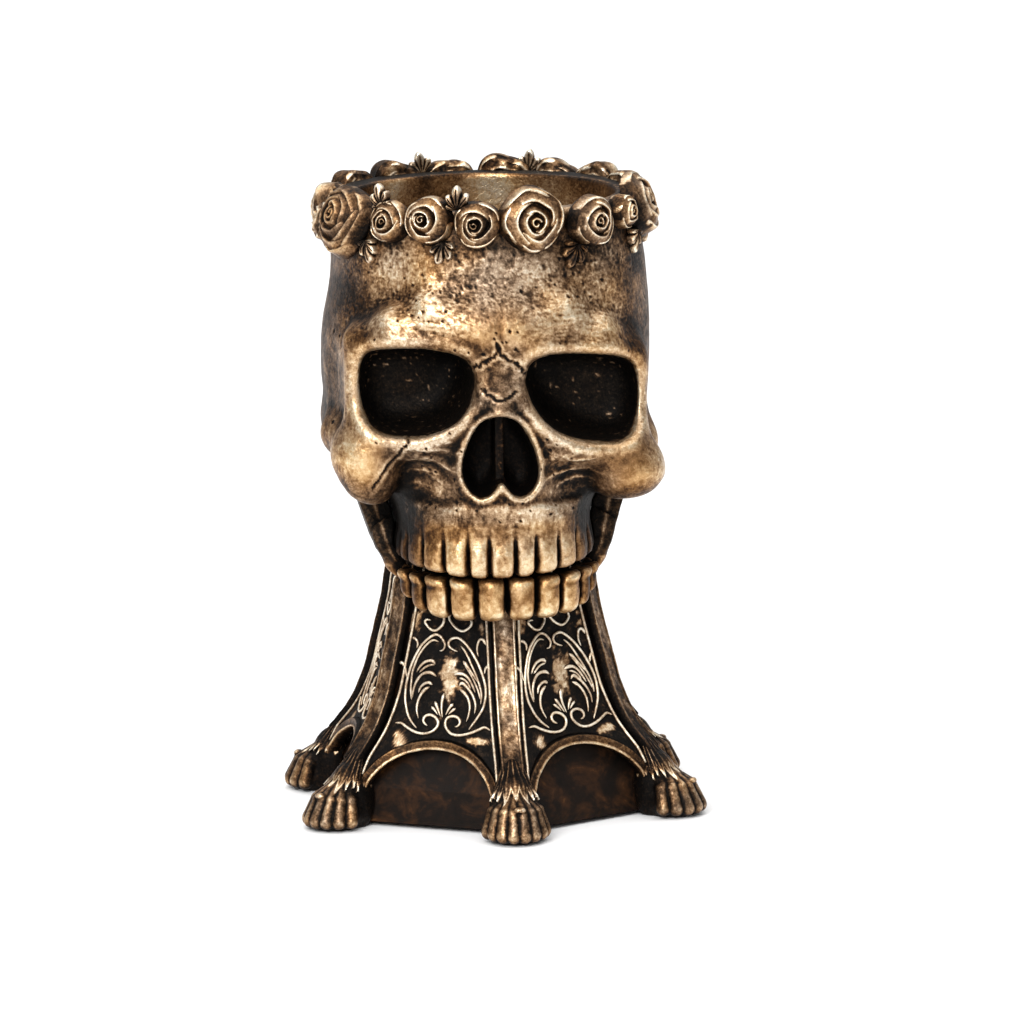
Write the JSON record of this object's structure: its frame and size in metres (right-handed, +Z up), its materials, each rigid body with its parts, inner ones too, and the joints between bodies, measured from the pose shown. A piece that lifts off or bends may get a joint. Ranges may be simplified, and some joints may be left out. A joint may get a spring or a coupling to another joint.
{
  "type": "skull vase",
  "caption": "Hollow skull vase with a crown of roses, standing on a flared six-sided pedestal with scroll panels, arches and claw feet.",
  "frame": {"origin": "on the floor under the vertical axis of the pedestal", "axes": "+Z up, the face looks along -Y, +X to the right of someone looking at the face"},
  "size_m": [0.1278, 0.144, 0.2019],
  "materials": {
    "antique_bronze": "satin",
    "aged_bronze": "satin",
    "bright_bronze": "satin"
  },
  "bodies": {
    "root": {"pedestal_core": "aged_bronze", "skull_vessel": "antique_bronze", "lower_jaw": "antique_bronze", "corner_rib_1": "antique_bronze", "claw_foot_1": "bright_bronze", "scroll_panel_1": "aged_bronze", "arch_moulding_1": "antique_bronze", "corner_rib_2": "antique_bronze", "claw_foot_2": "bright_bronze", "scroll_panel_2": "aged_bronze", "arch_moulding_2": "antique_bronze", "corner_rib_3": "antique_bronze", "claw_foot_3": "bright_bronze", "scroll_panel_3": "aged_bronze", "arch_moulding_3": "antique_bronze", "corner_rib_4": "antique_bronze", "claw_foot_4": "bright_bronze", "scroll_panel_4": "aged_bronze", "arch_moulding_4": "antique_bronze", "corner_rib_5": "antique_bronze", "claw_foot_5": "bright_bronze", "scroll_panel_5": "aged_bronze", "arch_moulding_5": "antique_bronze", "corner_rib_6": "antique_bronze", "claw_foot_6": "bright_bronze", "scroll_panel_6": "aged_bronze", "arch_moulding_6": "antique_bronze", "rose_01": "antique_bronze", "rose_02": "antique_bronze", "rose_03": "antique_bronze", "rose_04": "antique_bronze", "rose_05": "antique_bronze", "rose_06": "antique_bronze", "rose_07": "antique_bronze", "rose_08": "antique_bronze", "rose_09": "antique_bronze", "rose_10": "antique_bronze", "rose_11": "antique_bronze", "rose_12": "antique_bronze", "rose_13": "antique_bronze", "rose_14": "antique_bronze", "rose_15": "antique_bronze", "rose_16": "antique_bronze", "rose_17": "antique_bronze", "rose_18": "antique_bronze", "leaf_01": "bright_bronze", "leaf_02": "bright_bronze", "leaf_03": "bright_bronze", "leaf_04": "bright_bronze", "leaf_05": "bright_bronze", "leaf_06": "bright_bronze", "leaf_07": "bright_bronze", "leaf_08": "bright_bronze", "leaf_09": "bright_bronze", "leaf_10": "bright_bronze", "leaf_11": "bright_bronze", "leaf_12": "bright_bronze", "leaf_13": "bright_bronze", "leaf_14": "bright_bronze"}
  },
  "joints": []
}
